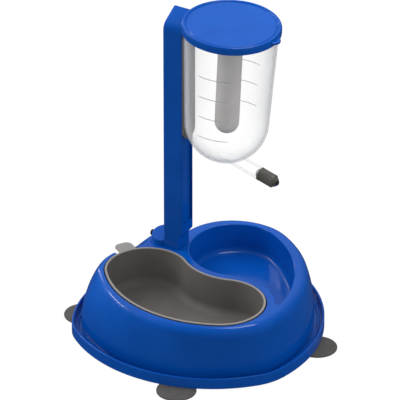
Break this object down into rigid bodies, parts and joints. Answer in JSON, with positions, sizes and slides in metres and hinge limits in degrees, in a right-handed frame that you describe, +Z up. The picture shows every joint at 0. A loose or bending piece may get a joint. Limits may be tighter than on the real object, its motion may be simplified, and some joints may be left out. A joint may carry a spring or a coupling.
{
  "type": "double pet bowl with a bottle on a post",
  "caption": "Pet feeder: domed blue stand with a lift-out food bowl, a water well, and a lidded bottle with a spout on a post.",
  "frame": {"origin": "on the surface the feet stand on, under the middle of the tray", "axes": "+Z up along the post, +Y across the base from the food bowl to the water well, +X towards the spout"},
  "size_m": [0.2945, 0.2916, 0.361],
  "materials": {
    "blue_plastic": "polished blue, with the moulding's slight waviness",
    "grey_plastic": "satin warm grey",
    "soft_grey": "soft matt grey",
    "clear_plastic": "clear moulded bottle",
    "smoke_plastic": "translucent smoke grey",
    "charcoal_plastic": "satin charcoal",
    "pale_plastic": "plain light grey",
    "steel": "plain steel",
    "black_plastic": "black"
  },
  "bodies": {
    "base": {"base_tray": "blue_plastic", "base_shell": "blue_plastic", "tray_screws": "steel", "foot_left": "soft_grey", "foot_front": "soft_grey", "foot_right": "soft_grey", "foot_back": "soft_grey"},
    "food_bowl": {"food_bowl": "grey_plastic"},
    "post": {"post": "blue_plastic"},
    "latch": {"latch_plunger": "black_plastic", "latch_cap": "black_plastic", "latch_spring": "steel"},
    "holder": {"bottle_holder": "smoke_plastic"},
    "bottle": {"bottle_body": "clear_plastic", "nozzle_cap": "charcoal_plastic", "valve_washer": "soft_grey", "valve_cage": "pale_plastic", "valve_spring": "steel"},
    "lid": {"bottle_lid": "blue_plastic", "lid_gasket": "soft_grey", "ice_tube": "smoke_plastic"},
    "ball": {"valve_ball": "steel"}
  },
  "joints": [
    {"name": "food_bowl_lift", "type": "slide", "parent": "base", "child": "food_bowl", "axis": [0, 0, 1], "range_m": [0, 0.06]},
    {"name": "post_lift", "type": "slide", "parent": "base", "child": "post", "axis": [0, 0, 1], "range_m": [0, 0.062]},
    {"name": "latch_pull", "type": "slide", "parent": "base", "child": "latch", "axis": [-1, 0, 0], "range_m": [0, 0.0036], "stiffness_N_per_m": 300, "springref_m": -0.002, "deforming": ["latch_spring"]},
    {"name": "holder_height", "type": "slide", "parent": "post", "child": "holder", "axis": [0, 0, 1], "range_m": [-0.09, 0]},
    {"name": "bottle_lift", "type": "slide", "parent": "holder", "child": "bottle", "axis": [0, 0, 1], "range_m": [0, 0.11]},
    {"name": "lid_lift", "type": "slide", "parent": "bottle", "child": "lid", "axis": [0.0471, 0, 0.9989], "range_m": [0, 0.135]},
    {"name": "ball_press", "type": "slide", "parent": "bottle", "child": "ball", "axis": [-0.9636, 0, 0.2672], "range_m": [0, 0.0015], "stiffness_N_per_m": 300, "springref_m": -0.002, "deforming": ["valve_spring"]}
  ]
}
